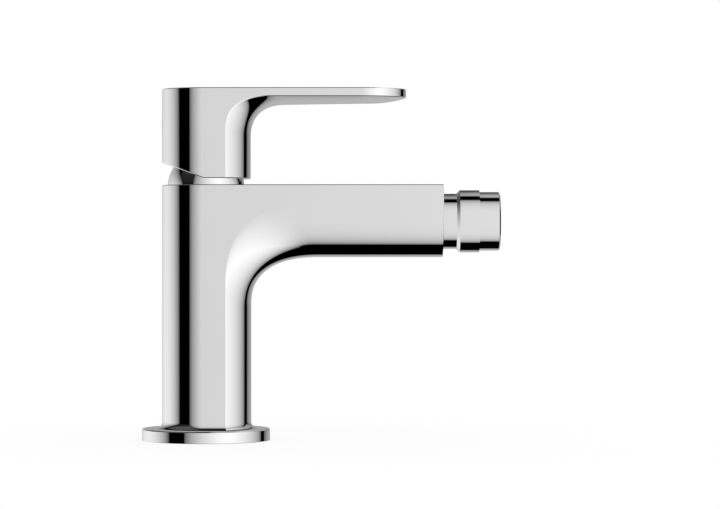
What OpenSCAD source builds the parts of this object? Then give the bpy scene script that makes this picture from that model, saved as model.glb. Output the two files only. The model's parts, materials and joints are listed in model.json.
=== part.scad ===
// Single-lever bidet mixer with a swivelling nozzle, drawn closed, with its lever lowered.
// Millimetres: +X runs along the spout, +Z is up, and the origin is the middle of the foot on the deck.

/* [Foot] */
// Diameter of the foot plate
foot_d = 52.6; // [52:0.2:60]
// Thickness of the foot plate
foot_t = 4.6; // [4:0.1:7]
// Rounding of the foot plate's upper rim
foot_edge_r = 0.9; // [0.3:0.1:1.5]
// Radius of the hollow fillet between foot and column
foot_fillet_r = 2.2; // [1:0.1:2.6]
// Middle diameter of the gasket under the foot
gasket_d = 45; // [44:0.5:46]
// Width of the gasket
gasket_w = 2.4; // [1.6:0.1:3]
// Thickness of the gasket
gasket_t = 1.8; // [1:0.1:2.4]

/* [Column and spout] */
// Width of column, spout and handle across their flat sides
body_w = 34; // [33.4:0.2:37]
// Radius of the front of column and barrel
front_r = 19.7; // [19:0.1:21]
// Distance of the axis of the round back behind the tap's centre line
back_shift = 1; // [0:0.1:1.5]
// Height of the body's flat top
body_h = 104.3; // [98:0.5:130]
// Distance of the spout's end face from the tap's centre line
spout_reach = 97.3; // [92:0.5:130]
// Depth of the spout from its top to its underside
spout_depth = 29.4; // [29:0.2:32]
// Depth of the round underside of the spout
spout_round = 19.9; // [17:0.1:21]
// Length along the spout of the blend under it, at the middle
corner_len_mid = 23.8; // [16:0.2:26]
// Length along the spout of the blend under it, at the flat sides
corner_len_side = 28.7; // [20:0.2:32]
// Height of the blend under the spout, at the middle
corner_rise_mid = 16.4; // [12:0.2:24]
// Height of the blend under the spout, at the flat sides
corner_rise_side = 28.7; // [20:0.2:32]
// Radius of the water way through the spout
spout_way_r = 6; // [4:0.2:7]

/* [Connections] */
// Radius of the tapped inlets for the hoses, M10 x 1
inlet_r = 4.5; // [4:0.1:5]
// Depth of the tapped inlets
inlet_depth = 14; // [10:1:20]
// Distance of each inlet from the middle plane
inlet_y = 7.3; // [6.6:0.1:8]
// Radius of the tapped hole for the fixing stud, M8
stud_r = 3.4; // [2.5:0.1:4]
// Depth of the hole for the fixing stud
stud_depth = 20; // [12:1:30]
// Distance of the fixing stud behind the tap's centre line
stud_back = 9; // [8:0.1:11]

/* [Handle] */
// Gap between the body's top and the handle
handle_gap = 2.9; // [2.4:0.1:4]
// Height of the handle from the barrel's lower edge to its flat top
handle_h = 36.6; // [36:0.2:46]
// Distance of the centre of the lever's round tip from the tap's centre line
lever_reach = 65; // [45:0.5:90]
// Thickness of the lever at its edge
lever_edge_t = 3.4; // [2.4:0.1:4]
// Swell of the lever's underside below its edge
lever_crown = 2.7; // [1.5:0.1:3.4]
// Length along the lever of the blend under it
neck_len = 12.2; // [8:0.2:16]
// Height of the blend under the lever, at the middle
neck_rise_mid = 10.3; // [7:0.1:14]
// Height of the blend under the lever, at the flat sides
neck_rise_side = 11.3; // [7:0.1:15]
// Slope of the cut under the back of the barrel, in degrees
slant_angle = 20.5; // [19:0.5:21.5]
// Place along the spout where the sloping cut starts
slant_x = -0.1; // [-2:0.1:1]
// Radius of the hollow in the barrel
hollow_r = 14; // [12:0.1:14.2]
// Thickness of the handle's top over the hollow
hollow_roof = 4.8; // [4:0.1:6]
// Radius of the boss that takes the stem
boss_r = 7.2; // [6.4:0.1:8]
// Radius of the boss that takes the handle screw
screw_boss_r = 3.6; // [3:0.1:4.5]
// Height of the handle screw above the barrel's lower edge
screw_rise = 22.1; // [20:0.1:23]
// Radius of the handle screw, M3
screw_r = 1.5; // [1:0.1:2]
// Length of the handle screw
screw_len = 11; // [8:0.5:12]
// Radius of the plug over the handle screw
plug_r = 1.75; // [1.7:0.05:2.5]
// Length of the plug
plug_len = 2.4; // [1.5:0.1:2.8]
// How far the plug's dome stands out of the barrel
plug_proud = 0.2; // [0.1:0.05:0.4]

/* [Dome cap and nut] */
// Radius of the ball-shaped cap
dome_r = 16.7; // [16.2:0.1:16.8]
// Thickness of the cap
dome_t = 1; // [0.7:0.1:1.2]
// Radius of the cap's opening for the stem
dome_open_r = 11; // [10.8:0.1:11.4]
// Depth of the lever's pivot below the body's top
pivot_drop = 3.6; // [3:0.1:4.4]
// Radius of the tapped bore for the cartridge nut
nut_bore_r = 14.5; // [14.3:0.1:14.8]
// Height of the nut's threaded part
nut_h = 2.4; // [2:0.1:3]
// Height of the nut's smooth neck
nut_neck_h = 3.2; // [2:0.1:3.4]
// Thickness of the skirt that clips the cap to the nut's neck
skirt_t = 0.9; // [0.6:0.1:1]
// Depth of the notches for the nut's key
notch_d = 1; // [0.6:0.1:1.6]

/* [Cartridge] */
// Radius of the cartridge chamber
chamber_r = 13.5; // [13.3:0.1:13.8]
// Radius of the cartridge housing
housing_r = 12.3; // [12.1:0.1:12.4]
// Wall of the cartridge housing
housing_t = 1.4; // [1.2:0.1:1.5]
// Depth of the cartridge's flange below the body's top
flange_drop = 6.3; // [6:0.1:6.8]
// Thickness of the cartridge's flange
flange_t = 1.6; // [1.2:0.1:1.8]
// Radius of the housing's collar inside the nut
housing_collar_r = 12.4; // [11.8:0.1:12.6]
// Thickness of the housing's sealing ring
oring_d = 1.7; // [1.4:0.1:1.8]
// Height of the cartridge base
base_h = 9.6; // [8.5:0.1:14]
// Height of the base's spigot inside the housing
spigot_h = 3; // [2:0.1:3.4]
// Height of the cartridge's side outlet
window_h = 4.2; // [3:0.1:4.4]
// Thickness of the base above its side outlet
window_roof = 1; // [0.6:0.1:1.4]
// How far the port seals stand out of the cartridge base
seal_proud = 0.45; // [0.2:0.05:0.6]
// Width of the rubber seals round the ports
seal_w = 1.25; // [0.8:0.05:1.4]
// Thickness of the rubber seals
seal_t = 1.6; // [1.2:0.1:2]
// Radius of the inlet ports
port_r = 1.9; // [1.5:0.1:2]
// Place of the inlet ports along the spout
port_x = 2.4; // [2.2:0.1:2.8]
// Distance of the inlet ports from the middle plane
port_y = 6.2; // [5.8:0.1:6.4]
// Radius of the outlet port
outlet_r = 2.6; // [2.2:0.1:2.8]
// Distance of the outlet port behind the tap's centre line
outlet_back = 3.6; // [3.4:0.1:4]
// Radius of the two locating pegs
peg_r = 1.2; // [0.9:0.1:1.4]
// Length of the locating pegs
peg_len = 2.1; // [1.5:0.1:3]
// Distance of the pegs behind the tap's centre line
peg_back = 8; // [7.6:0.1:8.4]
// Distance of the pegs from the middle plane
peg_y = 4; // [3:0.1:5]
// Thickness of the fixed ceramic disc
fixed_disc_t = 3.5; // [3:0.1:4.5]
// Radius of the moving ceramic disc
moving_disc_r = 9; // [8.8:0.05:9.1]
// Thickness of the moving ceramic disc
moving_disc_t = 4; // [3.4:0.1:5]
// Depth of the mixing pocket under the moving disc
pocket_depth = 2.2; // [1.5:0.1:2.4]
// Width of the moving disc's sealing rim
pocket_rim = 2.4; // [2:0.1:2.8]
// Width of disc that closes the inlets when the lever is down
pocket_lap = 1; // [0.5:0.1:1.2]
// Thickness of the carrier's plate
carrier_plate_t = 2.8; // [2.4:0.1:3]
// Height of the whole carrier
carrier_h = 6; // [5.6:0.1:6.2]
// Length of the carrier's block
carrier_len = 10; // [9:0.1:10.2]
// Width of the carrier's block
carrier_w = 9; // [8.4:0.1:9.4]
// Height of the carrier's top above the centre of the stem's ball end
carrier_lip = 0.9; // [0.6:0.1:1]
// Radius of the pegs between carrier and moving disc
drive_peg_r = 1.2; // [0.9:0.1:1.3]
// Length of the pegs between carrier and moving disc
drive_peg_len = 1.3; // [0.8:0.1:1.6]
// Distance of these pegs from the middle plane
drive_peg_y = 6.8; // [6.6:0.1:7]
// Depth of the driver's flange below the cartridge's flange
driver_drop = 2; // [1.9:0.1:2.4]
// Height of the driver above the pivot
driver_rise = 3.5; // [3:0.1:4]
// Radius of the driver's neck
driver_r = 8.85; // [8.6:0.05:9]

/* [Stem] */
// Width of the square stem
stem_w = 7; // [6:0.1:7.2]
// Height of the stem above the pivot
stem_rise = 32.3; // [31:0.1:33]
// Length of the square stem below the pivot
stem_drop = 5.3; // [4.8:0.1:5.4]
// Length of the stem's lower arm, from the pivot to its ball end
stem_arm = 8; // [7.8:0.1:8.2]
// Radius of the stem's ball end
finger_r = 2.3; // [2:0.1:2.4]
// Radius of the finger above the ball end
finger_neck_r = 1.6; // [1.2:0.1:1.7]
// Radius of the pivot pin
pin_r = 1.2; // [1:0.1:1.5]
// Length of the pivot pin
pin_len = 16; // [14:0.2:16.4]
// Greatest lift of the lever, in degrees
lift_angle = 22; // [18:1:22]

/* [Nozzle] */
// Radius of the nozzle's ball
ball_r = 12.6; // [12.5:0.05:12.7]
// Depth of the ball's centre behind the spout's end face
ball_drop = 5.2; // [5:0.1:5.6]
// Length of the ball behind its centre
ball_tail = 8.9; // [8.6:0.1:9.2]
// Depth of the bore in the spout's end
ball_bore_depth = 16.3; // [16:0.1:18]
// Distance of the slip ring's front behind the ball's centre
seat_back = 1.8; // [1.2:0.1:2.4]
// Distance of the retaining ring's back in front of the ball's centre
retainer_front = 0.6; // [0.4:0.1:1]
// Thinnest wall of the rings that hold the ball
ball_ring_t = 0.6; // [0.5:0.05:0.7]
// Radius of the opening in the retaining ring
retainer_open_r = 12.2; // [12.15:0.01:12.3]
// Depth of the retaining ring inside the spout's end
retainer_recess = 0.8; // [0.4:0.1:1]
// Thickness of the seal round the ball
ball_oring_d = 1.8; // [1.4:0.1:2]
// Radius of the nozzle's neck
neck_r = 11.3; // [11:0.05:11.35]
// Length of the neck outside the spout
neck_out = 5.5; // [4:0.1:12]
// Radius of the nozzle's collar
collar_r = 12.75; // [12.4:0.05:14]
// Length of the nozzle's collar with its bevel
collar_len = 9.5; // [8.5:0.1:14]
// Bevel at the back of the collar
collar_bevel = 1.3; // [0.6:0.1:1.4]
// Radius of the water way through the nozzle
nozzle_way_r = 7; // [6:0.1:7.4]
// Radius of the tapped bore for the aerator
aerator_bore_r = 10.6; // [10.4:0.05:10.8]
// Depth of the tapped bore for the aerator
aerator_bore_depth = 7.8; // [7:0.1:8.2]
// Radius of the aerator's ring
shell_r = 12; // [11.6:0.05:13]
// Length of the aerator's ring
shell_len = 8.6; // [8:0.1:12]
// Rounding of the ring's front edge
shell_edge_r = 1; // [0.4:0.1:1.4]
// Radius of the water outlet
spray_r = 7.9; // [7.4:0.1:8]
// Thickness of the lip round the water outlet
lip_t = 1.5; // [1.1:0.1:2]
// Wall of the aerator's threaded skirt
skirt_wall = 1.9; // [1.7:0.05:2]
// Thickness of the aerator's washer
washer_t = 1.5; // [1:0.1:2]
// Length of the aerator's insert
insert_len = 10; // [8:0.1:11]
// Radius of the insert's jets
jet_r = 0.85; // [0.6:0.05:0.9]
// Spacing of the insert's jets
jet_pitch = 2.3; // [2.1:0.05:2.4]
// Thickness of the strainer
screen_t = 0.8; // [0.5:0.1:1.2]

/* [Fits] */
// Gap between pieces that screw or push together
fit_gap = 0.1; // [0.06:0.01:0.12]
// Gap between pieces that turn or slide in each other
run_gap = 0.15; // [0.1:0.01:0.18]
// Gap round pieces that drop in loosely
loose_gap = 0.3; // [0.25:0.01:0.35]
// Gap between the handle and the dome cap
dome_gap = 0.35; // [0.3:0.05:0.5]
// Gap between the two ceramic discs
disc_gap = 0.05; // [0.03:0.01:0.08]

/* [Hidden] */
$fn = 96;

// How finely the lofted castings are sliced
side_slices = 28;
corner_steps = 14;
neck_steps = 10;
tip_steps = 8;
foot_steps = 4;
edge_steps = 6;
// The foot's fillet stops short of flat, then runs on into the plate
flare_angle = 80;
flare_over = 0.4;
flare_sink = 0.2;
// Angle of the ball's seal behind its widest part, and pairs of notches in the nut
ball_seal_angle = 55;
notch_pairs = 4;
// Length by which a cut runs past the face that it opens
past = 1;
// Points closer than this are one point
weld = 0.000001;
// Side of a block larger than any piece
far = 200;

// Plan of column and barrel
half_w = body_w / 2;
axis_x = -back_shift;

// Levels
pivot_z = body_h - pivot_drop;
nozzle_z = body_h - spout_depth / 2;
spout_low = body_h - spout_depth;
handle_low = body_h + handle_gap;
handle_top = handle_low + handle_h;
lever_edge_z = handle_top - lever_edge_t;
crown_r = (pow(half_w, 2) + pow(lever_crown, 2)) / (2 * lever_crown);
screw_z = handle_low + screw_rise;

// Cartridge, from the pivot downwards
finger_z = pivot_z - stem_arm;
carrier_top = finger_z + carrier_lip;
carrier_low = carrier_top - carrier_h;
driver_low = carrier_low + carrier_plate_t + run_gap;
moving_low = carrier_low - moving_disc_t;
fixed_top = moving_low - disc_gap;
fixed_low = fixed_top - fixed_disc_t;
base_low = fixed_low - base_h;
chamber_floor = base_low - seal_proud;
housing_low = fixed_low - spigot_h;
flange_z = body_h - flange_drop;
nut_z = flange_z + flange_t;
driver_flange_top = flange_z - driver_drop;
shoulder_z = driver_flange_top + run_gap;
inner_r = housing_r - housing_t;
housing_neck_r = driver_r + run_gap;
collar_top = pivot_z + driver_rise - fit_gap;
skirt_r = nut_bore_r - loose_gap;
nut_neck_r = skirt_r - skirt_t - fit_gap;
disc_travel = stem_arm * sin(lift_angle);
disc_x = -disc_travel / 2;
window_top = housing_low - window_roof;
window_low = window_top - window_h;

// Nozzle, along the spout
ball_x = spout_reach - ball_drop;
seat_r = ball_r + run_gap;
ball_bore_r = seat_r + ball_ring_t + fit_gap;
ball_ring_r = ball_bore_r - fit_gap;
bore_floor_x = spout_reach - ball_bore_depth;
collar_x = spout_reach + neck_out;
collar_end = collar_x + collar_len;
shell_end = collar_end + shell_len;
washer_x = collar_end - aerator_bore_depth;
shell_skirt_x = washer_x + washer_t;
shell_skirt_r = aerator_bore_r - fit_gap;
insert_r = shell_skirt_r - skirt_wall;
insert_end = shell_end - lip_t;
insert_x = insert_end - insert_len;

// Handle screw, from the stem's back outwards
screw_end_x = -stem_w / 2;
screw_head_x = screw_end_x - screw_len;
barrel_back_x = axis_x - half_w;

function slice_y(t, grow = 0) = (half_w + grow) * sin(t);
function back_x(t, grow = 0) = axis_x - (half_w + grow) * cos(t);
function front_x(t, grow = 0) = axis_x + sqrt(pow(front_r + grow, 2) - pow(slice_y(t, grow), 2));
function from_mid(t, mid, side) = mid + (side - mid) * (1 - cos(t));
function spout_under(t) = spout_low + spout_round * (1 - cos(t));
function lever_under(reach) =
    lever_edge_z - sqrt(pow(crown_r, 2) - pow(reach, 2)) + sqrt(pow(crown_r, 2) - pow(half_w, 2));

// Points of a quarter ellipse from the underside of an arm down to the front of its post
function blend(t, under_z, len, rise, steps) = [
    for (i = [0 : steps])
        let (a = 90 + 90 * i / steps)
        [front_x(t) + len * (1 + cos(a)), slice_y(t), under_z - rise * (1 - sin(a))]
];

// Growth and height of the hollow fillet, from inside the foot plate up to the straight column
foot_levels = concat(
    [for (z = [foot_t / 2, foot_t - flare_sink]) [foot_fillet_r + flare_over, z]],
    [
        for (i = [0 : foot_steps])
            let (a = flare_angle * (1 - i / foot_steps))
            [foot_fillet_r * (1 - cos(a)), foot_t + foot_fillet_r * (1 - sin(a))]
    ]
);

function body_slice(t) = concat(
    [for (level = foot_levels) [back_x(t, level[0]), slice_y(t, level[0]), level[1]]],
    [
        [back_x(t), slice_y(t), body_h],
        [spout_reach, slice_y(t), body_h],
        [spout_reach, slice_y(t), spout_under(t)]
    ],
    blend(
        t,
        spout_under(t),
        from_mid(t, corner_len_mid, corner_len_side),
        from_mid(t, corner_rise_mid, corner_rise_side),
        corner_steps
    ),
    [
        for (i = [len(foot_levels) - 1 : -1 : 0])
            [front_x(t, foot_levels[i][0]), slice_y(t, foot_levels[i][0]), foot_levels[i][1]]
    ]
);

function handle_slice(t) = concat(
    [
        [back_x(t), slice_y(t), handle_low],
        [back_x(t), slice_y(t), handle_top],
        [lever_reach + half_w * cos(t), slice_y(t), handle_top]
    ],
    [
        for (i = [0 : tip_steps])
            let (x = half_w * cos(t) * (1 - i / tip_steps))
            [lever_reach + x, slice_y(t), lever_under(norm([x, slice_y(t)]))]
    ],
    blend(
        t,
        lever_under(abs(slice_y(t))),
        neck_len,
        from_mid(t, neck_rise_mid, neck_rise_side),
        neck_steps
    ),
    [[front_x(t), slice_y(t), handle_low]]
);

// Closed loft through loops that run from the near flat side to the far one.
// The first and last few points of each loop, paired, close the flared foot at the two sides,
// and the flat above them is a fan from the upper back corner, which sees the whole of it.
module loft(loops, paired) {
    m = len(loops[0]);
    last = len(loops) - 1;
    ids = [
        for (k = [0 : last], j = [0 : m - 1])
            k * m + min([for (i = [0 : j]) if (norm(loops[k][i] - loops[k][j]) < weld) i])
    ];
    walls = [
        for (k = [0 : last - 1], j = [0 : m - 1])
            let (a = ids[k * m + j])
            let (b = ids[k * m + (j + 1) % m])
            let (c = ids[(k + 1) * m + (j + 1) % m])
            let (d = ids[(k + 1) * m + j])
            each [[a, d, c], [a, c, b]]
    ];
    apex = paired + 1;
    rim = [for (j = [paired : m - 1 - paired]) if (ids[j] == j) j];
    near_side = [
        for (i = [0 : len(rim) - 1])
            let (next = rim[(i + 1) % len(rim)])
            if (rim[i] != apex && next != apex) [apex, rim[i], next]
    ];
    near_foot = [for (j = [0 : 1 : paired - 1]) [j, j + 1, m - 2 - j, m - 1 - j]];
    near_caps = concat(near_side, near_foot);
    far_caps = [for (cap = near_caps) [for (i = [len(cap) - 1 : -1 : 0]) cap[i] + last * m]];
    faces = [for (f = walls) if (f[0] != f[1] && f[1] != f[2] && f[2] != f[0]) f];
    polyhedron(points = [for (loop = loops) each loop], faces = concat(faces, near_caps, far_caps));
}

module post(low, high, r) {
    translate([0, 0, low]) cylinder(h = high - low, r = r);
}

module tube(low, high, outer, inner) {
    difference() {
        post(low, high, outer);
        post(low - past, high + past, inner);
    }
}

module along_spout(x) {
    translate([x, 0, nozzle_z]) rotate([0, 90, 0]) children();
}

module bar(start, end, r) {
    along_spout(start) cylinder(h = end - start, r = r);
}

module at_ports() {
    for (side = [-1, 1]) translate([port_x, side * port_y, 0]) children();
}

module at_outlet() {
    translate([-outlet_back, 0, 0]) children();
}

module at_pegs() {
    for (side = [-1, 1]) translate([-peg_back, side * peg_y, 0]) children();
}

module across(z, length, r) {
    translate([0, length / 2, z]) rotate([90, 0, 0]) cylinder(h = length, r = r);
}

module screw_bar(start, end, r) {
    translate([start, 0, screw_z]) rotate([0, 90, 0]) cylinder(h = end - start, r = r);
}

module square_bar(low, high, w) {
    translate([-w / 2, -w / 2, low]) cube([w, w, high - low]);
}

module foot_plate() {
    rim = [
        for (i = [0 : edge_steps])
            let (a = 90 * i / edge_steps)
            [foot_d / 2 - foot_edge_r * (1 - cos(a)), foot_t - foot_edge_r * (1 - sin(a))]
    ];
    rotate_extrude() polygon(concat([[0, 0], [foot_d / 2, 0]], rim, [[0, foot_t]]));
}

module water_ways() {
    for (side = [-1, 1]) translate([port_x, side * inlet_y, 0]) post(-past, inlet_depth, inlet_r);
    at_ports() post(inlet_depth - past, chamber_floor + past, port_r);
    post(chamber_floor, body_h + past, chamber_r);
    post(flange_z, body_h + past, nut_bore_r);
    at_pegs() post(base_low - peg_len - fit_gap, chamber_floor + past, peg_r + fit_gap);
    bar(0, bore_floor_x + past, spout_way_r);
    bar(bore_floor_x, spout_reach + past, ball_bore_r);
}

module body() {
    color("silver")
    difference() {
        union() {
            loft([for (k = [0 : side_slices]) body_slice(180 * k / side_slices - 90)], len(foot_levels) - 1);
            foot_plate();
        }
        water_ways();
        translate([-stud_back, 0, 0]) post(-past, stud_depth, stud_r);
        tube(-past, gasket_t, gasket_d / 2 + gasket_w / 2, gasket_d / 2 - gasket_w / 2);
    }
}

module base_gasket() {
    color("dimgray")
    tube(
        0,
        gasket_t,
        gasket_d / 2 + gasket_w / 2 - fit_gap,
        gasket_d / 2 - gasket_w / 2 + fit_gap
    );
}

module cartridge_base() {
    color("whitesmoke") {
        difference() {
            union() {
                post(base_low, housing_low, housing_r);
                post(base_low, fixed_low, inner_r - fit_gap);
            }
            at_ports() {
                post(base_low - past, fixed_low + past, port_r);
                post(base_low - past, base_low + seal_t - seal_proud, port_r + seal_w + fit_gap);
                post(fixed_low - seal_t, fixed_low + past, port_r + seal_w + fit_gap);
            }
            at_outlet() {
                post(window_low, fixed_low + past, outlet_r);
                post(fixed_low - seal_t, fixed_low + past, outlet_r + seal_w + fit_gap);
                translate([-far, -outlet_r, window_low]) cube([far, 2 * outlet_r, window_h]);
            }
        }
        at_pegs() post(base_low - peg_len, base_low + past, peg_r);
    }
}

module port_seals() {
    color("black") at_ports() tube(chamber_floor, chamber_floor + seal_t, port_r + seal_w, port_r);
}

module disc_seals() {
    color("black") {
        at_ports() tube(fixed_low - seal_t, fixed_low, port_r + seal_w, port_r);
        at_outlet() tube(fixed_low - seal_t, fixed_low, outlet_r + seal_w, outlet_r);
    }
}

module fixed_disc() {
    color("ivory")
    difference() {
        post(fixed_low, fixed_top, inner_r - run_gap);
        at_ports() post(fixed_low - past, fixed_top + past, port_r);
        at_outlet() post(fixed_low - past, fixed_top + past, outlet_r);
    }
}

// The pocket joins the outlet to the inlets only when the disc has slid forward
module mixing_pocket() {
    back = -outlet_back - outlet_r - disc_x;
    front = port_x - port_r - pocket_lap - disc_x;
    intersection() {
        post(moving_low - past, moving_low + pocket_depth, moving_disc_r - pocket_rim);
        translate([back, -far / 2, moving_low - far / 2]) cube([front - back, far, far]);
    }
}

module at_drive_pegs() {
    for (side = [-1, 1]) translate([0, side * drive_peg_y, 0]) children();
}

module moving_disc() {
    color("ivory")
    translate([disc_x, 0, 0])
    difference() {
        post(moving_low, carrier_low, moving_disc_r);
        mixing_pocket();
        at_drive_pegs()
            post(carrier_low - drive_peg_len - fit_gap, carrier_low + past, drive_peg_r + fit_gap);
    }
}

module disc_carrier() {
    color("tan")
    translate([disc_x, 0, 0])
    difference() {
        union() {
            post(carrier_low, carrier_low + carrier_plate_t, moving_disc_r - loose_gap);
            translate([-carrier_len / 2, -carrier_w / 2, carrier_low])
                cube([carrier_len, carrier_w, carrier_h]);
            at_drive_pegs() post(carrier_low - drive_peg_len, carrier_low + past, drive_peg_r);
        }
        translate([-disc_x, 0, 0])
            post(finger_z - finger_r - loose_gap, carrier_top + past, finger_r + run_gap);
    }
}

module cartridge_housing() {
    color("whitesmoke")
    difference() {
        union() {
            post(housing_low, flange_z + past, housing_r);
            post(flange_z, nut_z, nut_bore_r - loose_gap);
            post(flange_z, collar_top, housing_collar_r);
        }
        post(housing_low - past, shoulder_z, inner_r);
        post(shoulder_z - past, collar_top + past, housing_neck_r);
        tube(
            flange_z - oring_d - fit_gap,
            flange_z - fit_gap,
            chamber_r + past,
            chamber_r - oring_d - fit_gap
        );
    }
}

module housing_oring() {
    color("black")
    translate([0, 0, flange_z - fit_gap - oring_d / 2])
        rotate_extrude() translate([chamber_r - fit_gap / 2 - oring_d / 2, 0]) circle(d = oring_d - fit_gap);
}

// Room for the stem to tilt one way above the pivot and the other way below it
module stem_slot() {
    clear = stem_w / 2 + run_gap;
    swing = clear / cos(lift_angle);
    upper = driver_rise * tan(lift_angle);
    lower = stem_drop * tan(lift_angle);
    translate([-swing - upper, -clear, pivot_z - past])
        cube([2 * swing + upper, 2 * clear, driver_rise + 2 * past]);
    translate([-swing, -clear, driver_low - past])
        cube([2 * swing + lower, 2 * clear, pivot_z - driver_low + past]);
}

module driver() {
    track_len = carrier_len + disc_travel + 2 * loose_gap;
    track_w = carrier_w + 2 * run_gap;
    color("tan")
    difference() {
        union() {
            post(driver_low, driver_flange_top, inner_r - loose_gap);
            post(driver_low, pivot_z + driver_rise, driver_r);
        }
        stem_slot();
        translate([-track_len / 2, -track_w / 2, driver_low - past])
            cube([track_len, track_w, carrier_top + loose_gap - driver_low + past]);
        across(pivot_z, far, pin_r + fit_gap / 2);
    }
}

module pivot_pin() {
    color("silver") across(pivot_z, pin_len, pin_r);
}

module lever_stem() {
    color("gray")
    difference() {
        union() {
            square_bar(pivot_z - stem_drop, pivot_z + stem_rise, stem_w);
            post(finger_z, pivot_z - stem_drop + past, finger_neck_r);
            translate([0, 0, finger_z]) sphere(finger_r);
        }
        across(pivot_z, far, pin_r + run_gap);
    }
}

module cartridge_nut() {
    color("darkkhaki")
    difference() {
        union() {
            post(nut_z, nut_z + nut_h, nut_bore_r - fit_gap);
            post(nut_z, nut_z + nut_h + nut_neck_h, nut_neck_r);
        }
        post(nut_z - past, body_h + far, housing_collar_r + fit_gap);
        for (i = [0 : notch_pairs - 1])
            rotate(180 * i / notch_pairs)
                translate([-far / 2, -notch_d, nut_z + nut_h + nut_neck_h - notch_d])
                    cube([far, 2 * notch_d, far]);
    }
}

module dome_cap() {
    skirt_top = pivot_z + sqrt(pow(dome_r - dome_t / 2, 2) - pow(skirt_r, 2));
    color("silver")
    union() {
        difference() {
            translate([0, 0, pivot_z]) sphere(dome_r);
            translate([0, 0, pivot_z]) sphere(dome_r - dome_t);
            post(body_h - far, body_h, far);
            post(body_h, body_h + far, dome_open_r);
        }
        tube(nut_z + nut_h + fit_gap, skirt_top, skirt_r, skirt_r - skirt_t);
    }
}

module handle_hollow() {
    translate([0, 0, pivot_z]) sphere(dome_r + dome_gap);
    difference() {
        post(handle_low - past, handle_top - hollow_roof, hollow_r);
        post(handle_low - far, handle_top, boss_r);
        screw_bar(barrel_back_x, 0, screw_boss_r);
    }
}

module handle() {
    color("silver")
    difference() {
        loft([for (k = [0 : side_slices]) handle_slice(180 * k / side_slices - 90)], 0);
        handle_hollow();
        translate([slant_x, 0, handle_low])
            rotate([0, slant_angle, 0])
                translate([-far, -far / 2, -far]) cube([far, far, far]);
        square_bar(pivot_z, pivot_z + stem_rise + fit_gap, stem_w + 2 * fit_gap);
        screw_bar(barrel_back_x - past, 0, screw_r + fit_gap / 2);
        screw_bar(barrel_back_x - past, barrel_back_x + plug_len + fit_gap, plug_r + fit_gap / 2);
    }
}

module handle_screw() {
    socket_r = screw_r / 2;
    color("gray")
    difference() {
        screw_bar(screw_head_x, screw_end_x, screw_r);
        screw_bar(screw_head_x - past, screw_head_x + screw_r, socket_r, $fn = 6);
    }
}

module screw_plug() {
    crown = plug_proud;
    crown_ball = (pow(plug_r, 2) + pow(crown, 2)) / (2 * crown);
    color("silver")
    intersection() {
        screw_bar(barrel_back_x - crown, barrel_back_x + plug_len, plug_r);
        translate([barrel_back_x - crown + crown_ball, 0, screw_z]) sphere(crown_ball);
    }
}

module ball_seat() {
    color("whitesmoke")
    difference() {
        bar(bore_floor_x + fit_gap, ball_x - seat_back, ball_ring_r);
        along_spout(ball_x) sphere(seat_r);
        bar(bore_floor_x - past, ball_x, nozzle_way_r);
        seal_ring(ball_oring_d + fit_gap);
    }
}

// Ring round the ball, a little behind its widest part
module seal_ring(d) {
    reach = ball_r + run_gap / 2 + ball_oring_d / 2;
    along_spout(ball_x - reach * cos(ball_seal_angle))
        rotate_extrude() translate([reach * sin(ball_seal_angle), 0]) circle(d = d);
}

module ball_oring() {
    color("black") seal_ring(ball_oring_d);
}

module ball_retainer() {
    front = spout_reach - retainer_recess;
    color("silver")
    difference() {
        bar(ball_x + retainer_front, front, ball_ring_r);
        along_spout(ball_x) sphere(seat_r);
        bar(ball_x, front + past, retainer_open_r);
        for (turn = [0, 90])
            along_spout(front - notch_d)
                rotate(turn) translate([-far / 2, -notch_d / 2, 0]) cube([far, notch_d, far]);
    }
}

module nozzle() {
    color("silver")
    difference() {
        union() {
            intersection() {
                along_spout(ball_x) sphere(ball_r);
                bar(ball_x - ball_tail, spout_reach, ball_r + past);
            }
            bar(ball_x, collar_end, neck_r);
            along_spout(collar_x)
                cylinder(h = collar_bevel, r1 = collar_r - collar_bevel, r2 = collar_r);
            bar(collar_x + collar_bevel, collar_end, collar_r);
        }
        bar(ball_x - far, collar_end + past, nozzle_way_r);
        bar(washer_x, collar_end + past, aerator_bore_r);
    }
}

module aerator_washer() {
    color("black")
    difference() {
        bar(washer_x, shell_skirt_x, shell_skirt_r);
        bar(washer_x - past, shell_skirt_x + past, nozzle_way_r);
    }
}

// Jets on a hexagonal grid inside a round field
module jets(start, end, field_r) {
    rows = ceil(field_r / jet_pitch) + 1;
    for (i = [-rows : rows], j = [-rows : rows])
        let (across_x = jet_pitch * (i + j / 2))
        let (across_y = jet_pitch * j * sin(60))
        if (norm([across_x, across_y]) < field_r)
            along_spout(start)
                translate([across_x, across_y, 0]) cylinder(h = end - start, r = jet_r, $fn = 24);
}

module aerator_screen() {
    color("gainsboro")
    difference() {
        bar(insert_x - screen_t, insert_x, insert_r - fit_gap);
        jets(insert_x - screen_t - past, insert_x + past, nozzle_way_r - jet_r);
    }
}

module aerator_insert() {
    color("gainsboro")
    difference() {
        bar(insert_x, insert_end, insert_r - fit_gap);
        jets(insert_x - past, insert_end + past, nozzle_way_r - jet_r);
    }
}

module aerator_shell() {
    rim = [
        for (i = [0 : edge_steps])
            let (a = 90 * i / edge_steps)
            [shell_r - shell_edge_r * (1 - cos(a)), shell_len - shell_edge_r * (1 - sin(a))]
    ];
    color("silver")
    difference() {
        union() {
            along_spout(collar_end)
                rotate_extrude() polygon(concat([[0, 0], [shell_r, 0]], rim, [[0, shell_len]]));
            bar(shell_skirt_x, collar_end + past, shell_skirt_r);
        }
        bar(shell_skirt_x - past, insert_end, insert_r);
        bar(shell_skirt_x, shell_end + past, spray_r);
    }
}

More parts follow.
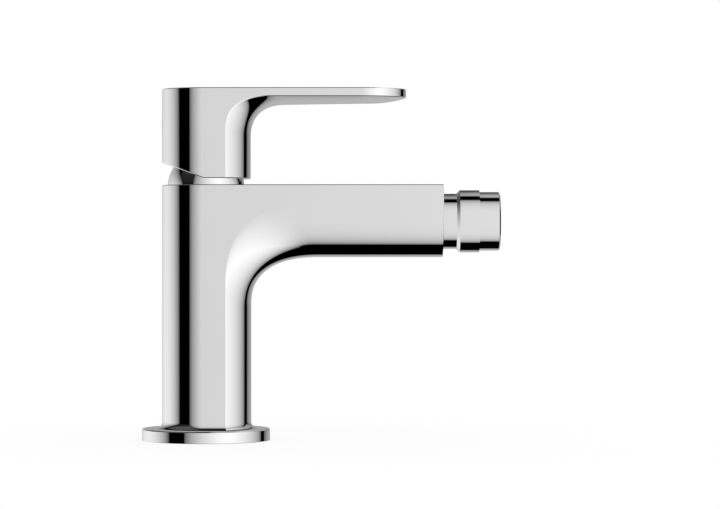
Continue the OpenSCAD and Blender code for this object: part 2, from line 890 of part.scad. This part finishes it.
body();
base_gasket();
cartridge_base();
port_seals();
disc_seals();
fixed_disc();
moving_disc();
disc_carrier();
cartridge_housing();
housing_oring();
driver();
pivot_pin();
lever_stem();
cartridge_nut();
dome_cap();
handle();
handle_screw();
screw_plug();
ball_seat();
ball_oring();
ball_retainer();
nozzle();
aerator_washer();
aerator_screen();
aerator_insert();
aerator_shell();
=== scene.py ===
"""Looks of a chrome single-lever bidet mixer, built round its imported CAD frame.

The castings and turned parts that show are rebuilt as fine closed meshes with broken edges.
Sizes are in millimetres, and the faces that show keep within a millimetre of the CAD solids.
Finished meshes are in metres, in the part's frame.
"""

import json
from collections import namedtuple
from math import acos, asin, cos, hypot, pi, radians, sin, sqrt, tan

import bmesh
import bpy
from mathutils import Matrix, Vector


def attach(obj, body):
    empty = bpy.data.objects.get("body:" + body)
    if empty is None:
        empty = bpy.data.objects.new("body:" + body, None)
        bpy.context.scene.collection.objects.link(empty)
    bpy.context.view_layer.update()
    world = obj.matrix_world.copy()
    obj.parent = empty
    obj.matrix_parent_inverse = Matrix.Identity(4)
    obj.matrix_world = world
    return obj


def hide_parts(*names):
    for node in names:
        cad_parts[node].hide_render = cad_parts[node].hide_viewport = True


MM = 0.001

# Curve from the underside of an arm to the front of its post: length along the arm, drop along the post
# and fullness, each for the middle and the sides, how far the middle's values spread, and steps
Sweep = namedtuple("Sweep", "length drop fullness spread steps")

# Plan of column, spout and barrel, with the (centre, radius) of each rounded front
HALF_W = 17.0
AXIS_X = -1.0
BACK_END = AXIS_X - HALF_W
COLUMN_FRONT = (-1.06, 19.59)
BARREL_FRONT = (-1.5, 19.8)

# Foot
FOOT_R = 26.2
FOOT_T = 4.8
FOOT_EDGE = 0.4
FOOT_FILLET_R = 2.8
FLARE_END = radians(84)
FLARE_OVER = 0.4
FLARE_SINK = 0.2
GASKET_R = 22.5
GASKET_HALF_W = 1.2
GASKET_T = 1.8

# Column and spout
BODY_H = 104.36
SPOUT_REACH = 97.05
SPOUT_LOW = 74.93
SPOUT_ROUND = 20.39
CORNER = Sweep((28.4, 29.1), (19.2, 31.6), (2.42, 2.4), 1.4, 56)
NOZZLE_Z = 89.6

# Bores of the body
CHAMBER_R = 13.5
CHAMBER_FLOOR = 70.0
NUT_BORE_R = 14.5
NUT_BORE_Z = 98.0
SPOUT_WAY_R = 6.0
BALL_BORE_R = 13.45
BALL_BORE_X = 81.0
PORT_X = 2.4
PORT_Y = 6.2
PORT_R = 1.9
INLET_Y = 7.3
INLET_R = 4.5
INLET_DEPTH = 14.0
PEG_X = -8.0
PEG_Y = 4.0
PEG_R = 1.3
PEG_LOW = 68.25
STUD_X = -9.0
STUD_R = 3.4
STUD_DEPTH = 20.0

# Handle: its lever's tip is a little longer than a half circle, and its plug has a low crown,
# which keeps a share of its height half way out
HANDLE_LOW = 106.97
HANDLE_TOP = 143.62
LEVER_EDGE_Z = 140.16
NECK_CROWN = 2.75
TIP_CROWN = 2.25
TIP_FULLNESS = 0.7
LEVER_REACH = 64.0
TIP_STRETCH = 18 / 17
NECK = Sweep((13.6, 19.3), (13.5, 13.4), (2.31, 2.43), 1.0, 40)
SLANT_X = -0.1
SLANT = radians(20.5)
PIVOT_Z = 100.7
HOLLOW_R = 14.0
HOLLOW_TOP = 139.0
BOSS_R = 7.2
SOCKET_W = 7.2
SOCKET_TOP = 133.1
SCREW_Z = 129.3
SCREW_BORE_R = 1.55
SCREW_BOSS_R = 3.6
PLUG_R = 1.75
PLUG_BORE_R = 1.8
PLUG_LEN = 2.4
PLUG_PROUD = 0.2
PLUG_CROWN = 0.75

# Dome cap
DOME_R = 15.75
DOME_Z = 103.3
DOME_T = 1.0
DOME_OPEN_R = 11.0
DOME_GAP = 0.95
SKIRT_R = 14.2
SKIRT_T = 0.9
SKIRT_LOW = 102.1

# Nozzle and aerator, along the spout, with the shell's edge broken by so much inwards and along
BALL_X = 92.1
BALL_R = 12.3
BALL_BACK_X = 83.2
NECK_R = 11.3
COLLAR_X = 102.6
COLLAR_R = 12.75
COLLAR_BEVEL = 1.3
COLLAR_END = 111.9
NOZZLE_WAY_R = 7.0
AERATOR_BORE_R = 10.6
AERATOR_BORE_X = 104.5
SHELL_R = 12.0
SHELL_END = 120.4
SHELL_BREAK = (0.95, 0.55)
SHELL_SKIRT_X = 106.0
SHELL_SKIRT_R = 10.5
INSERT_R = 8.6
INSERT_END = 119.4
SPRAY_R = 7.9

# Broken edges of the castings and of the turned parts
EDGE = 0.27
LEVER_BREAK = 0.6
TURN_EDGE = 0.1

# How finely the meshes are divided: the castings in slices from their near flat side to their far one
SIDE_SLICES = 180
SLICE_ANGLES = [pi * k / SIDE_SLICES - pi / 2 for k in range(SIDE_SLICES + 1)]
TIP_STEPS = 20
RIM_STEPS = 5
FOOT_STEPS = 10
TURN_STEPS = 192
BALL_STEPS = 48
PAST = 1.0
WELD = 0.00001
SHARP = radians(20)


# Plan and section curves of the castings, by the angle t of a slice, which is 0 in the middle

def slice_y(t, grow=0.0):
    return (HALF_W + grow) * sin(t)


def back_x(t, grow=0.0):
    return AXIS_X - (HALF_W + grow) * cos(t)


def front_x(t, front, grow=0.0):
    centre, radius = front
    return centre + sqrt((radius + grow) ** 2 - slice_y(t, grow) ** 2)


def draw_back(inset):
    """How far the lever's broken lower edge lies above the sharp one, at a distance from the outline."""
    return LEVER_BREAK * max(0.0, EDGE - inset)


def blend(t, front, under_z, sweep, give=0.0):
    """Full quarter curve from the underside of an arm, less its broken edge, to the front of its post."""
    share = abs(sin(t)) ** sweep.spread
    length, drop, fullness = [mid + (side - mid) * share for mid, side in sweep[:3]]
    points = []
    for i in range(sweep.steps + 1):
        a = pi / 2 * i / sweep.steps
        x = front_x(t, front) + length * (1 - sin(a) ** (2 / fullness))
        z = under_z + give * cos(a) - drop * (1 - cos(a) ** (2 / fullness))
        points.append((x, slice_y(t), z))
    return points


def foot_levels():
    """Growth and height of the hollow fillet, from inside the foot plate up to the column."""
    flare = FOOT_FILLET_R + FLARE_OVER
    levels = [(flare, FOOT_T / 2), (flare, FOOT_T - FLARE_SINK)]
    for i in range(FOOT_STEPS + 1):
        a = FLARE_END * (1 - i / FOOT_STEPS)
        levels.append((FOOT_FILLET_R * (1 - cos(a)), FOOT_T + FOOT_FILLET_R * (1 - sin(a))))
    return levels


def body_loop(t, levels):
    """Outline of the body in one slice: back, top, spout's end, underside and front."""
    y = slice_y(t)
    under = SPOUT_LOW + SPOUT_ROUND * (1 - cos(t))
    back = [(back_x(t, grow), slice_y(t, grow), z) for grow, z in levels]
    arm = [(back_x(t), y, BODY_H), (SPOUT_REACH, y, BODY_H), (SPOUT_REACH, y, under)]
    corner = blend(t, COLUMN_FRONT, under, CORNER)
    front = [(front_x(t, COLUMN_FRONT, grow), slice_y(t, grow), z) for grow, z in reversed(levels)]
    return back + arm + corner + front


def lever_under(crown, y, x=0.0):
    """Crowned underside of the lever, which runs out to the edge more fully along the tip than across it."""
    reach = max(hypot(x, y), WELD)
    power = 2 + TIP_FULLNESS * (x / reach) ** 2
    return LEVER_EDGE_Z - crown * (1 - (reach / HALF_W) ** power)


def barrel_low(x):
    return HANDLE_LOW + max(0.0, SLANT_X - x) * tan(SLANT)


def handle_loop(t):
    """Outline of the handle in one slice: back, top, lever's tip and underside, neck and slanted bottom."""
    y = slice_y(t)
    insets = [EDGE * i / RIM_STEPS for i in range(RIM_STEPS + 1)]
    rim = [sqrt(max(0.0, (HALF_W - inset) ** 2 - y**2)) for inset in insets]
    reaches = rim + [rim[-1] * (1 - i / TIP_STEPS) for i in range(1, TIP_STEPS + 1)]
    underside = []
    for x in reaches:
        z = lever_under(TIP_CROWN, y, x) + draw_back(HALF_W - hypot(x, y))
        underside.append((LEVER_REACH + x * TIP_STRETCH, y, z))
    barrel = [
        (back_x(t), y, barrel_low(back_x(t))),
        (back_x(t), y, HANDLE_TOP),
        (LEVER_REACH + HALF_W * cos(t) * TIP_STRETCH, y, HANDLE_TOP),
    ]
    give = draw_back(HALF_W - abs(y))
    under = lever_under(NECK_CROWN, y)
    neck = blend(t, BARREL_FRONT, under, NECK, give)
    bottom = [(neck[-1][0], y, HANDLE_LOW), (SLANT_X, y, HANDLE_LOW)]
    return barrel + underside + neck + bottom


# Mesh making, in millimetres

def new_piece(name, bm):
    bmesh.ops.recalc_face_normals(bm, faces=bm.faces)
    mesh = bpy.data.meshes.new(name)
    bm.to_mesh(mesh)
    bm.free()
    piece = bpy.data.objects.new(name, mesh)
    bpy.context.scene.collection.objects.link(piece)
    return piece


def break_edges(bm, edges):
    bmesh.ops.bevel(bm, geom=edges, offset=EDGE, offset_type="OFFSET", segments=1, affect="EDGES")


def loft(name, loops, flat_spans, paired=0):
    """Closed casting through loops that run from its near flat side to its far one.

    Each span in flat_spans becomes one flat face, and the edges round it are broken.
    The first and last few points of each loop, paired, close the flared foot at the two sides.
    """
    bm = bmesh.new()
    rows = [[bm.verts.new(point) for point in loop] for loop in loops]
    count = len(loops[0])
    flats = [[] for _ in flat_spans]
    for near, far in zip(rows, rows[1:]):
        for j in range(count):
            after = (j + 1) % count
            face = bm.faces.new((near[j], near[after], far[after], far[j]))
            if j in flat_spans:
                flats[flat_spans.index(j)].append(face)
    for row in (rows[0], rows[-1]):
        for j in range(paired):
            bm.faces.new((row[j], row[j + 1], row[count - 2 - j], row[count - 1 - j]))
        bm.faces.new(row[paired : count - paired])
    bmesh.ops.remove_doubles(bm, verts=bm.verts, dist=WELD)
    bmesh.ops.recalc_face_normals(bm, faces=bm.faces)
    whole = []
    for faces in flats:
        faces = [face for face in faces if face.is_valid]
        whole += bmesh.ops.dissolve_faces(bm, faces=faces, use_verts=True)["region"]
    rims = {
        edge
        for face in whole
        if face.is_valid
        for edge in face.edges
        if edge.calc_face_angle(0.0) > SHARP
    }
    break_edges(bm, list(rims))
    return new_piece(name, bm)


def cut_corners(corners):
    """Closed outline through (radius, height, cut) corners, with each corner cut off by that much."""
    outline = []
    for before, corner, after in zip(corners[-1:] + corners[:-1], corners, corners[1:] + corners[:1]):
        here = Vector(corner[:2])
        if corner[2] == 0:
            outline.append(here)
            continue
        for neighbour in (before, after):
            outline.append(here + (Vector(neighbour[:2]) - here).normalized() * corner[2])
    return outline


def arc(centre, radius, start, stop, steps=BALL_STEPS):
    """Points on a circle round (0, centre), by angle from the outward direction, with no corner cut."""
    angles = [start + (stop - start) * i / steps for i in range(steps + 1)]
    return [(radius * cos(a), centre + radius * sin(a), 0) for a in angles]


def lathe(name, outline, place=Matrix.Identity(4), steps=TURN_STEPS):
    """Solid turned about an upright axis from a closed outline, then put in its place."""
    bm = bmesh.new()
    rows = []
    for i in range(steps):
        a = 2 * pi * i / steps
        rows.append([bm.verts.new((point[0] * cos(a), point[0] * sin(a), point[1])) for point in outline])
    count = len(outline)
    for near, far in zip(rows, rows[1:] + rows[:1]):
        for j in range(count):
            after = (j + 1) % count
            if outline[j][0] > WELD or outline[after][0] > WELD:
                bm.faces.new((near[j], far[j], far[after], near[after]))
    bmesh.ops.remove_doubles(bm, verts=bm.verts, dist=WELD)
    bmesh.ops.transform(bm, matrix=place, verts=bm.verts)
    return new_piece(name, bm)


def at(x, y, z=0.0):
    return Matrix.Translation((x, y, z))


def along_spout(z):
    """Turns an upright part so that its axis runs along the spout, at that height."""
    return Matrix.Translation((0, 0, z)) @ Matrix.Rotation(pi / 2, 4, "Y")


def drill(name, stages, place=Matrix.Identity(4)):
    """Cutter for a stepped bore, from its (radius, start, end) stages in order."""
    corners = [(0, stages[0][1])]
    for radius, start, end in stages:
        corners += [(radius, start), (radius, end)]
    corners.append((0, stages[-1][2]))
    return lathe(name, corners, place)


def carve(solid, operation, tools):
    """Joins or cuts the solid with the tools, which are then gone."""
    for tool in tools:
        step = solid.modifiers.new("carve", "BOOLEAN")
        step.object = tool
        step.operation = operation
        step.solver = "MANIFOLD"
    shaped = solid.evaluated_get(bpy.context.evaluated_depsgraph_get())
    mesh = bpy.data.meshes.new_from_object(shaped)
    solid.modifiers.clear()
    solid.data = mesh
    for tool in tools:
        bpy.data.objects.remove(tool)
    return solid


def finish_mesh(piece):
    """Scales a finished piece to metres and gives it smooth faces with true edges."""
    mesh = piece.data
    mesh.transform(Matrix.Scale(MM, 4))
    mesh.shade_smooth()
    mesh.set_sharp_from_angle(angle=SHARP)
    normals = piece.modifiers.new("normals", "WEIGHTED_NORMAL")
    normals.keep_sharp = True
    return piece


# Pieces

def make_body():
    levels = foot_levels()
    top = len(levels)
    loops = [body_loop(t, levels) for t in SLICE_ANGLES]
    body = loft("mixer_body", loops, [top, top + 1], paired=top - 1)
    foot = [(0, 0, 0), (FOOT_R, 0, TURN_EDGE), (FOOT_R, FOOT_T, FOOT_EDGE), (0, FOOT_T, 0)]
    carve(body, "UNION", [lathe("foot", cut_corners(foot))])
    groove = [
        (GASKET_R - GASKET_HALF_W, -PAST),
        (GASKET_R + GASKET_HALF_W, -PAST),
        (GASKET_R + GASKET_HALF_W, GASKET_T),
        (GASKET_R - GASKET_HALF_W, GASKET_T),
    ]
    tools = [
        drill("chamber", [(CHAMBER_R, CHAMBER_FLOOR, NUT_BORE_Z), (NUT_BORE_R, NUT_BORE_Z, BODY_H + PAST)]),
        drill(
            "outlet",
            [(SPOUT_WAY_R, 0, BALL_BORE_X), (BALL_BORE_R, BALL_BORE_X, SPOUT_REACH + PAST)],
            along_spout(NOZZLE_Z),
        ),
        drill("stud", [(STUD_R, -PAST, STUD_DEPTH)], at(STUD_X, 0)),
        lathe("groove", groove),
    ]
    for side in (-1, 1):
        tools.append(drill("inlet", [(INLET_R, -PAST, INLET_DEPTH)], at(PORT_X, side * INLET_Y)))
        port = [(PORT_R, INLET_DEPTH - PAST, CHAMBER_FLOOR + PAST)]
        tools.append(drill("port", port, at(PORT_X, side * PORT_Y)))
        tools.append(drill("peg", [(PEG_R, PEG_LOW, CHAMBER_FLOOR + PAST)], at(PEG_X, side * PEG_Y)))
    return finish_mesh(carve(body, "DIFFERENCE", tools))


def square_bar(name, width, low, high):
    bm = bmesh.new()
    bmesh.ops.create_cube(bm, size=1)
    bmesh.ops.scale(bm, vec=(width, width, high - low), verts=bm.verts)
    bmesh.ops.translate(bm, vec=(0, 0, (low + high) / 2), verts=bm.verts)
    return new_piece(name, bm)


def make_handle():
    loops = [handle_loop(t) for t in SLICE_ANGLES]
    count = len(loops[0])
    handle = loft("lever_handle", loops, [1, count - 2, count - 1])
    across = along_spout(SCREW_Z)
    hollow = drill("hollow", [(HOLLOW_R, HANDLE_LOW - PAST, HOLLOW_TOP)])
    boss = drill("boss", [(BOSS_R, HANDLE_LOW - 2 * PAST, HOLLOW_TOP + PAST)])
    screw_boss = drill("screw_boss", [(SCREW_BOSS_R, BACK_END, 0)], across)
    carve(hollow, "DIFFERENCE", [boss, screw_boss])
    cavity = lathe("cavity", arc(DOME_Z, DOME_R + DOME_GAP, -pi / 2, pi / 2, 2 * BALL_STEPS))
    socket = square_bar("socket", SOCKET_W, PIVOT_Z, SOCKET_TOP)
    plug_end = BACK_END + PLUG_LEN + PLUG_BORE_R - PLUG_R
    screw = drill("screw", [(PLUG_BORE_R, BACK_END - PAST, plug_end), (SCREW_BORE_R, plug_end, 0)], across)
    return finish_mesh(carve(handle, "DIFFERENCE", [hollow, cavity, socket, screw]))


def make_dome():
    inner_r = DOME_R - DOME_T
    skirt_in_r = SKIRT_R - SKIRT_T
    low = BODY_H - DOME_Z
    outline = arc(DOME_Z, DOME_R, asin(low / DOME_R), acos(DOME_OPEN_R / DOME_R))
    outline += arc(DOME_Z, inner_r, acos(DOME_OPEN_R / inner_r), acos(skirt_in_r / inner_r))
    outline += [(skirt_in_r, SKIRT_LOW, TURN_EDGE), (SKIRT_R, SKIRT_LOW, TURN_EDGE)]
    outline += arc(DOME_Z, inner_r, acos(SKIRT_R / inner_r), asin(low / inner_r))
    return finish_mesh(lathe("dome_cover", cut_corners(outline)))


def make_plug():
    outline = [
        (0, BACK_END - PLUG_PROUD, 0),
        (PLUG_R / 2, BACK_END - PLUG_PROUD * PLUG_CROWN, 0),
        (PLUG_R, BACK_END, 0),
        (PLUG_R, BACK_END + PLUG_LEN, TURN_EDGE),
        (0, BACK_END + PLUG_LEN, 0),
    ]
    return finish_mesh(lathe("screw_cover", cut_corners(outline), along_spout(SCREW_Z)))


def make_nozzle():
    start = -acos(sqrt(BALL_R**2 - (BALL_X - BALL_BACK_X) ** 2) / BALL_R)
    stop = acos(NECK_R / BALL_R)
    outline = [(NOZZLE_WAY_R, BALL_BACK_X, TURN_EDGE)]
    outline += arc(BALL_X, BALL_R, start, stop)
    outline += [
        (NECK_R, COLLAR_X, 0),
        (COLLAR_R - COLLAR_BEVEL, COLLAR_X, 0),
        (COLLAR_R, COLLAR_X + COLLAR_BEVEL, 0),
        (COLLAR_R, COLLAR_END, 0),
        (AERATOR_BORE_R, COLLAR_END, 0),
        (AERATOR_BORE_R, AERATOR_BORE_X, 0),
        (NOZZLE_WAY_R, AERATOR_BORE_X, 0),
    ]
    return finish_mesh(lathe("nozzle_neck", cut_corners(outline), along_spout(NOZZLE_Z)))


def make_shell():
    break_in, break_along = SHELL_BREAK
    outline = [
        (SHELL_SKIRT_R, SHELL_SKIRT_X, 0),
        (SHELL_SKIRT_R, COLLAR_END, 0),
        (SHELL_R, COLLAR_END, 0),
        (SHELL_R, SHELL_END - break_along, 0),
        (SHELL_R - break_in, SHELL_END, 0),
        (SPRAY_R, SHELL_END, TURN_EDGE),
        (SPRAY_R, INSERT_END, 0),
        (INSERT_R, INSERT_END, 0),
        (INSERT_R, SHELL_SKIRT_X, 0),
    ]
    return finish_mesh(lathe("aerator_ring", cut_corners(outline), along_spout(NOZZLE_Z)))


# Materials: noise in the piece's own coordinates varies their colour, roughness and relief

class Nodes:
    """Short calls for building a node tree."""

    def __init__(self, tree):
        self.tree = tree
        tree.nodes.clear()

    def add(self, kind, inputs=(), **settings):
        node = self.tree.nodes.new("ShaderNode" + kind)
        for name, value in settings.items():
            setattr(node, name, value)
        for name, value in dict(inputs).items():
            self.feed(node.inputs[name], value)
        return node

    def feed(self, socket, value):
        if isinstance(value, bpy.types.NodeSocket):
            self.tree.links.new(value, socket)
        else:
            socket.default_value = value

    def math(self, operation, *values):
        node = self.add("Math", operation=operation)
        for socket, value in zip(node.inputs, values):
            self.feed(socket, value)
        return node.outputs[0]

    def dot(self, vector, fixed):
        node = self.add("VectorMath", operation="DOT_PRODUCT")
        self.feed(node.inputs[0], vector)
        node.inputs[1].default_value = fixed
        return node.outputs["Value"]

    def spread(self, value, low, high):
        """Takes 0 to 1 to low to high."""
        return self.math("MULTIPLY_ADD", value, high - low, low)

    def noise(self, noise):
        place = self.add("TexCoord").outputs["Object"]
        scaled = self.add("Mapping", {"Vector": place, "Scale": noise.stretch}).outputs[0]
        inputs = {"Vector": scaled, "Scale": noise.cells / MM, "Detail": noise.detail}
        return self.add("TexNoise", inputs).outputs["Fac"]

    def tint(self, amount, dark, light):
        """Colour between two shades, by an amount from 0 to 1."""
        node = self.add("MixRGB", {"Fac": amount, "Color1": (*dark, 1), "Color2": (*light, 1)})
        return node.outputs[0]


def new_material(name):
    material = bpy.data.materials.new(name)
    material.use_nodes = True
    return material, Nodes(material.node_tree)


# Noise by its cells per millimetre; a finish by its noises and what they vary between: shades are factors
# of the base colour, and the relief is as deep as depth says, in millimetres
Noise = namedtuple("Noise", "cells detail stretch", defaults=(2.0, (1, 1, 1)))
Finish = namedtuple("Finish", "metallic tone shades grain roughness relief depth", defaults=(None, 0.0))

RUBBER_GRAIN = Noise(2.0, 3.0)
MOULD_GRAIN = Noise(3.0)
TOOL_MARKS = Noise(0.6, 3.0, (1, 1, 12))

# Bright plate: a mirror with faint clouding and a trace of waviness from polishing
CHROME = Finish(
    metallic=1.0,
    tone=Noise(0.05),
    shades=(0.985, 1.015),
    grain=Noise(0.2, 4.0),
    roughness=(0.006, 0.016),
    relief=Noise(0.12, 0.0),
    depth=0.0004,
)
RUBBER = Finish(
    metallic=0.0,
    tone=Noise(0.3),
    shades=(0.8, 1.3),
    grain=RUBBER_GRAIN,
    roughness=(0.6, 0.85),
    relief=RUBBER_GRAIN,
    depth=0.02,
)
PLASTIC = Finish(
    metallic=0.0,
    tone=Noise(0.15),
    shades=(0.96, 1.03),
    grain=MOULD_GRAIN,
    roughness=(0.38, 0.55),
    relief=MOULD_GRAIN,
    depth=0.01,
)
CERAMIC = Finish(
    metallic=0.0,
    tone=Noise(0.4, 4.0),
    shades=(0.97, 1.02),
    grain=Noise(1.0),
    roughness=(0.08, 0.2),
)
TURNED_METAL = Finish(
    metallic=1.0,
    tone=TOOL_MARKS,
    shades=(0.92, 1.05),
    grain=TOOL_MARKS,
    roughness=(0.22, 0.4),
    relief=TOOL_MARKS,
    depth=0.004,
)
PLATE_COLOUR = (0.87, 0.87, 0.87)
SLOTS = {
    "chrome_body": (CHROME, PLATE_COLOUR),
    "chrome_handle": (CHROME, PLATE_COLOUR),
    "chrome_trim": (CHROME, PLATE_COLOUR),
    "rubber": (RUBBER, (0.035, 0.035, 0.036)),
    "cartridge_plastic": (PLASTIC, (0.82, 0.82, 0.8)),
    "driver_plastic": (PLASTIC, (0.72, 0.66, 0.52)),
    "ceramic": (CERAMIC, (0.93, 0.92, 0.88)),
    "brass": (TURNED_METAL, (0.72, 0.58, 0.3)),
    "steel": (TURNED_METAL, (0.6, 0.6, 0.61)),
    "aerator_plastic": (PLASTIC, (0.78, 0.79, 0.8)),
}


def make_material(name, finish, colour):
    material, nodes = new_material(name)
    dark, light = [[channel * factor for channel in colour] for factor in finish.shades]
    inputs = {
        "Base Color": nodes.tint(nodes.noise(finish.tone), dark, light),
        "Metallic": finish.metallic,
        "Roughness": nodes.spread(nodes.noise(finish.grain), *finish.roughness),
    }
    shader = nodes.add("BsdfPrincipled", inputs)
    if finish.relief:
        bump = nodes.add("Bump", {"Height": nodes.noise(finish.relief), "Distance": finish.depth * MM})
        nodes.feed(shader.inputs["Normal"], bump.outputs[0])
    nodes.add("OutputMaterial", {"Surface": shader.outputs[0]})
    return material


def dress(piece, material):
    """Gives a piece its material. The chrome mirrors the studio alone, as in the photograph."""
    piece.data.materials.clear()
    piece.data.materials.append(material)
    piece.visible_glossy = False


# Studio: what the chrome mirrors is a dark room with soft panels of light, each with its place in degrees,
# a level that may lean across it or upwards, and a fall of light towards its edges
Place = namedtuple("Place", "azimuth elevation half_w half_h")
Light = namedtuple("Light", "level lean_across lean_up", defaults=(0.0, 0.0))
Fall = namedtuple("Fall", "roundness softness")

FLAT = Fall(4, 0.6)
SOFT = Fall(2, 1)

# Windows, with their fall across and upwards
WINDOWS = {
    "front": (Place(41.8, -0.6, 78.6, 85.9), Light(1.157, 0.054), Fall(1.26, 0.584), Fall(4.25, 0.57)),
    "top": (Place(143.7, 43.5, 34.8, 32.5), Light(0.533, lean_up=0.8), FLAT, Fall(4, 1.33)),
    "side": (Place(146, 41, 18, 33), Light(0.4), FLAT, FLAT),
    "ceiling": (Place(-97, 58, 76, 24), Light(0.1), FLAT, Fall(3, 0.8)),
    "dim wall": (Place(-52, 40, 42, 36), Light(0.025), FLAT, SOFT),
    "ground": (Place(-62, -33, 62, 25), Light(0.6), FLAT, FLAT),
}

# Ovals, with the softness of their fall
OVALS = {
    "left": (Place(-127, -7, 60.9, 40.5), Light(0.987, 0.044, -0.4), 0.783),
    "back": (Place(177.4, -10.9, 46.9, 33.7), Light(0.489, lean_up=-0.138), 0.487),
}


class Studio(Nodes):
    """World nodes that work by elevation, and by azimuth from the camera's side towards the spout."""

    def __init__(self, tree):
        super().__init__(tree)
        self.direction = self.add("TexCoord").outputs["Generated"]
        upward = self.dot(self.direction, (0, 0, 1))
        self.elevation = self.math("DEGREES", self.math("ARCSINE", upward))

    def offsets(self, place):
        """How far a direction lies from a panel's middle, in half widths and half heights."""
        a = radians(place.azimuth)
        sideways = self.dot(self.direction, (cos(a), sin(a), 0))
        onwards = self.dot(self.direction, (sin(a), -cos(a), 0))
        turn = self.math("DEGREES", self.math("ARCTAN2", sideways, onwards))
        across = self.math("DIVIDE", turn, place.half_w)
        up = self.math("DIVIDE", self.math("SUBTRACT", self.elevation, place.elevation), place.half_h)
        return across, up

    def soften(self, reach, softness):
        """Takes a reach of 0 to 1 at the edge to a light of 1 to 0."""
        inside = self.math("MAXIMUM", self.math("SUBTRACT", 1.0, reach), 0.0)
        return self.math("POWER", inside, softness)

    def fall(self, offset, fall):
        reach = self.math("POWER", self.math("ABSOLUTE", offset), fall.roundness)
        return self.soften(reach, fall.softness)

    def lit(self, shape, across, up, light):
        """Light of a panel by its shape and its leaning level."""
        level = self.math("MULTIPLY_ADD", up, light.lean_up, light.level)
        leaning = self.math("MULTIPLY_ADD", across, light.lean_across, level)
        return self.math("MULTIPLY", shape, self.math("MAXIMUM", leaning, 0.0))

    def window(self, place, light, fall_across, fall_up):
        across, up = self.offsets(place)
        shape = self.math("MULTIPLY", self.fall(across, fall_across), self.fall(up, fall_up))
        return self.lit(shape, across, up, light)

    def oval(self, place, light, softness):
        across, up = self.offsets(place)
        reach = self.math("MULTIPLY_ADD", across, across, self.math("MULTIPLY", up, up))
        return self.lit(self.soften(reach, softness), across, up, light)


# Floor of the studio, in metres, and how much of its white is paint that takes the shadow
FLOOR_R = 6.0
FLOOR_SIDES = 64
FLOOR_GAP = 0.0001
FLOOR_SHARE = 0.2
WHITE = (1, 1, 1, 1)

# Camera of the photograph: level, square to the tap's side
CAMERA_AT = (63.1, -1172.6, 76.0)
CAMERA_LENS = 143.0
SENSOR_W = 36.0


def make_world():
    """World that is plain white to the eye and the matt surfaces, and the studio to the chrome."""
    world = bpy.data.worlds.new("studio")
    bpy.context.scene.world = world
    world.use_nodes = True
    nodes = Studio(world.node_tree)
    panels = [nodes.window(*panel) for panel in WINDOWS.values()]
    panels += [nodes.oval(*panel) for panel in OVALS.values()]
    mirrored = panels[0]
    for panel in panels[1:]:
        mirrored = nodes.math("MAXIMUM", mirrored, panel)
    glossy = nodes.add("LightPath").outputs["Is Glossy Ray"]
    plain = nodes.math("SUBTRACT", 1.0, glossy)
    strength = nodes.math("MULTIPLY_ADD", mirrored, glossy, plain)
    light = nodes.add("Background", {"Color": WHITE, "Strength": strength})
    nodes.add("OutputWorld", {"Surface": light.outputs[0]})


def make_floor():
    """White floor that glows softly by itself, so that only the shadow shows."""
    bm = bmesh.new()
    bmesh.ops.create_circle(bm, cap_ends=True, segments=FLOOR_SIDES, radius=FLOOR_R)
    floor = new_piece("floor", bm)
    floor.location.z = -FLOOR_GAP
    material, nodes = new_material("floor")
    paint = nodes.add("BsdfDiffuse", {"Color": (FLOOR_SHARE, FLOOR_SHARE, FLOOR_SHARE, 1)})
    glow = nodes.add("Emission", {"Color": WHITE, "Strength": 1 - FLOOR_SHARE})
    both = nodes.add("AddShader")
    nodes.feed(both.inputs[0], paint.outputs[0])
    nodes.feed(both.inputs[1], glow.outputs[0])
    nodes.add("OutputMaterial", {"Surface": both.outputs[0]})
    dress(floor, material)


def make_camera():
    data = bpy.data.cameras.new("camera")
    data.lens = CAMERA_LENS
    data.sensor_width = SENSOR_W
    camera = bpy.data.objects.new("camera", data)
    camera.location = Vector(CAMERA_AT) * MM
    camera.rotation_euler = (pi / 2, 0, 0)
    bpy.context.scene.collection.objects.link(camera)
    bpy.context.scene.camera = camera


# The scene

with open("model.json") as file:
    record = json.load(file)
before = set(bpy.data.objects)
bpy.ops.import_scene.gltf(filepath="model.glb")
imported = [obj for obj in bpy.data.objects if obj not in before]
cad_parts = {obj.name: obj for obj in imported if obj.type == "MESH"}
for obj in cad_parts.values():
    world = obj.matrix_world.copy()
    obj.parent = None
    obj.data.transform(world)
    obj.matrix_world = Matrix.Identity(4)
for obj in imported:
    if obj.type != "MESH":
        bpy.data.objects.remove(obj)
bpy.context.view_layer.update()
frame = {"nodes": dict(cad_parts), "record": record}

slot_of = {row["node"]: row["material_slot"] for row in frame["record"]["subparts"]}
materials = {slot: make_material(slot, *look) for slot, look in SLOTS.items()}
for name, node in frame["nodes"].items():
    dress(node, materials[slot_of[name]])

rebuilt = {
    "body": ("tap", make_body),
    "handle": ("lever", make_handle),
    "dome_cap": ("tap", make_dome),
    "screw_plug": ("lever", make_plug),
    "nozzle": ("nozzle", make_nozzle),
    "aerator_shell": ("nozzle", make_shell),
}
for name, (carrier, make) in rebuilt.items():
    piece = make()
    dress(piece, materials[slot_of[name]])
    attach(piece, carrier)
    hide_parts(name)

make_floor()
make_world()
make_camera()
bpy.context.scene.view_settings.view_transform = "Standard"
